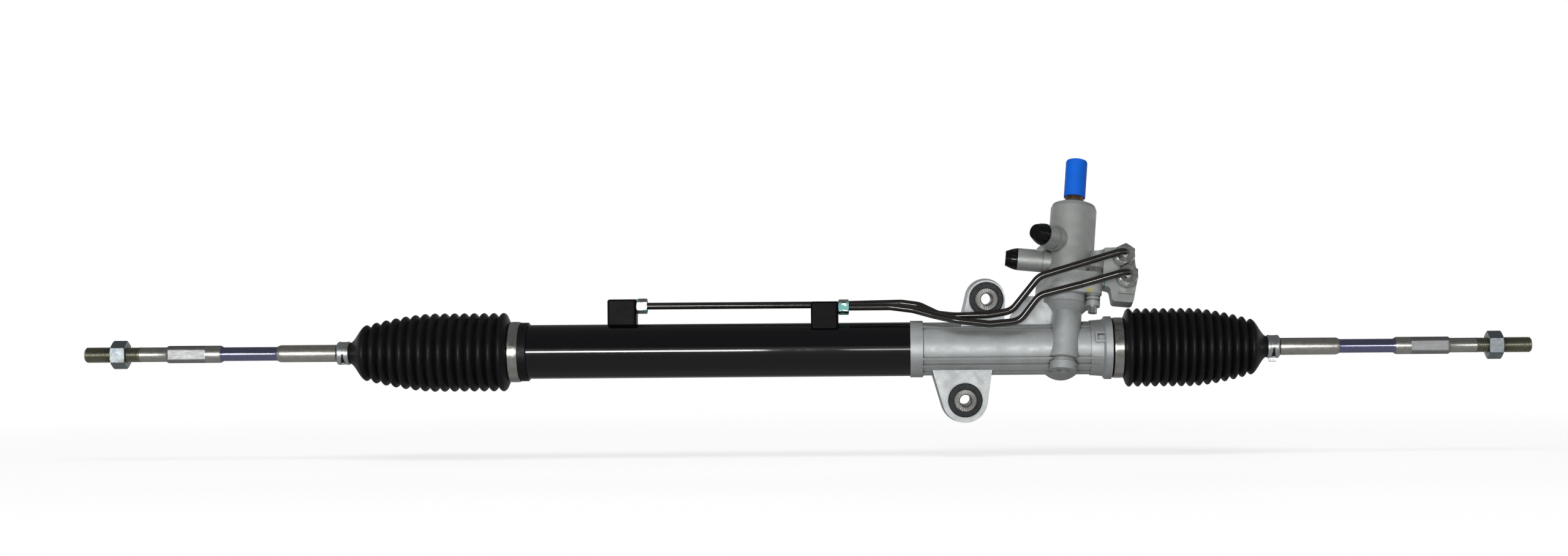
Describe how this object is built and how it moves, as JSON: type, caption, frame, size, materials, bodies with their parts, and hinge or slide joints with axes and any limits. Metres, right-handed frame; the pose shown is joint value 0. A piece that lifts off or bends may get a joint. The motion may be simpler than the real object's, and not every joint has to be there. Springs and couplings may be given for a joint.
{
  "type": "steering rack",
  "caption": "Hydraulic power steering rack with cast gear housing, rotary valve tower, cylinder tube, bellows boots, cylinder pipes and threaded tie rods.",
  "frame": {"origin": "centre of the lower bush bore, which a chassis bolt goes through", "axes": "+X along the rack towards the tie rod at the gear end, -Y the way the lower bush's bolt comes out (towards the viewer in the picture), +Z from the lower bush towards the input shaft"},
  "size_m": [1.297, 0.0916, 0.239],
  "materials": {
    "cast_aluminium": "satin, as cast and blasted",
    "black_paint": "gloss black paint",
    "zinc_steel": "bright zinc plate",
    "machined_steel": "ground steel, oiled",
    "bronzed_steel": "steel with a brown film of rust preventive",
    "bearing_aluminium": "machined",
    "boot_rubber": "matte",
    "bush_rubber": "matte",
    "seal_rubber": "smooth",
    "bearing_plastic": "plain",
    "blue_plastic": "semi-gloss",
    "black_plastic": "gloss"
  },
  "bodies": {
    "housing": {"cylinder_end_bush": "bearing_aluminium", "cylinder_tube": "black_paint", "end_snap_ring": "zinc_steel", "far_block_nut": "zinc_steel", "far_port_block": "black_paint", "gear_housing": "cast_aluminium", "housing_joint_seal": "seal_rubber", "inner_rack_seal": "seal_rubber", "input_shaft_bearing": "machined_steel", "input_shaft_seal": "seal_rubber", "left_boot": "boot_rubber", "left_boot_band": "zinc_steel", "long_cylinder_line": "black_paint", "lower_bush_rubber": "bush_rubber", "lower_bush_sleeve": "machined_steel", "lower_wing_nut": "zinc_steel", "near_block_nut": "zinc_steel", "near_port_block": "black_paint", "outer_rack_seal": "seal_rubber", "pinion_end_plug": "cast_aluminium", "pinion_lower_bearing": "machined_steel", "pinion_upper_bearing": "machined_steel", "right_boot": "boot_rubber", "right_boot_band": "zinc_steel", "short_cylinder_line": "black_paint", "upper_bush_rubber": "bush_rubber", "upper_bush_sleeve": "machined_steel", "upper_wing_nut": "zinc_steel", "valve_housing": "cast_aluminium", "valve_housing_bolts": "zinc_steel", "yoke": "bearing_aluminium", "yoke_adjuster": "bearing_aluminium", "yoke_liner": "bearing_plastic", "yoke_lock_nut": "machined_steel", "yoke_spring": "machined_steel"},
    "rack": {"rack_bar": "machined_steel", "rack_piston": "machined_steel", "piston_ring": "bearing_plastic", "left_socket": "machined_steel", "right_socket": "machined_steel", "left_lock_washer": "zinc_steel", "right_lock_washer": "zinc_steel"},
    "left_seat": {"left_ball_seat": "bearing_plastic"},
    "left_rod": {"left_tie_rod": "zinc_steel", "left_jam_nut": "zinc_steel", "left_boot_clip": "zinc_steel"},
    "right_seat": {"right_ball_seat": "bearing_plastic"},
    "right_rod": {"right_tie_rod": "zinc_steel", "right_jam_nut": "zinc_steel", "right_boot_clip": "zinc_steel"},
    "pinion": {"pinion_gear": "machined_steel", "valve_sleeve": "machined_steel", "valve_rings": "bearing_plastic", "torsion_bar": "machined_steel"},
    "input": {"input_shaft": "bronzed_steel", "torsion_pin": "machined_steel"},
    "cap": {"spline_cap": "blue_plastic"},
    "lower_plug": {"lower_port_plug": "black_plastic"},
    "upper_plug": {"upper_port_plug": "black_plastic"}
  },
  "joints": [
    {"name": "rack_slide", "type": "slide", "parent": "housing", "child": "rack", "axis": [1, 0, 0], "range_m": [-0.067, 0.079], "deforming": ["left_boot", "right_boot"]},
    {"name": "pinion_spin", "type": "hinge", "parent": "housing", "child": "pinion", "pos_m": [0.0891, -0.01586, 0.05006], "axis": [0.093, 0.275, 0.9569], "range_deg": [-614, 521]},
    {"name": "valve_twist", "type": "hinge", "parent": "pinion", "child": "input", "pos_m": [0.0984, 0.01164, 0.14575], "axis": [0.093, 0.275, 0.9569], "range_deg": [-4, 4], "stiffness_Nm_per_rad": 90, "deforming": ["torsion_bar"]},
    {"name": "cap_pull", "type": "slide", "parent": "input", "child": "cap", "axis": [0.093, 0.275, 0.9569], "range_m": [0, 0.045]},
    {"name": "lower_plug_pull", "type": "slide", "parent": "housing", "child": "lower_plug", "axis": [-0.9957, 0.0257, 0.0894], "range_m": [0, 0.02]},
    {"name": "upper_plug_pull", "type": "slide", "parent": "housing", "child": "upper_plug", "axis": [-0.7162, -0.6492, 0.2561], "range_m": [0, 0.02]},
    {"name": "left_rod_tilt", "type": "hinge", "parent": "rack", "child": "left_seat", "pos_m": [-0.512, 0, 0.0455], "axis": [0, 1, 0], "range_deg": [-18, 18]},
    {"name": "left_rod_swing", "type": "hinge", "parent": "left_seat", "child": "left_rod", "pos_m": [-0.512, 0, 0.0455], "axis": [0, 0, 1], "range_deg": [-18, 18]},
    {"name": "right_rod_tilt", "type": "hinge", "parent": "rack", "child": "right_seat", "pos_m": [0.232, 0, 0.0455], "axis": [0, 1, 0], "range_deg": [-18, 18]},
    {"name": "right_rod_swing", "type": "hinge", "parent": "right_seat", "child": "right_rod", "pos_m": [0.232, 0, 0.0455], "axis": [0, 0, 1], "range_deg": [-18, 18]}
  ],
  "couplings": [
    {"joint": "pinion_spin", "follows": "rack_slide", "rad_per_m": -135.46}
  ]
}
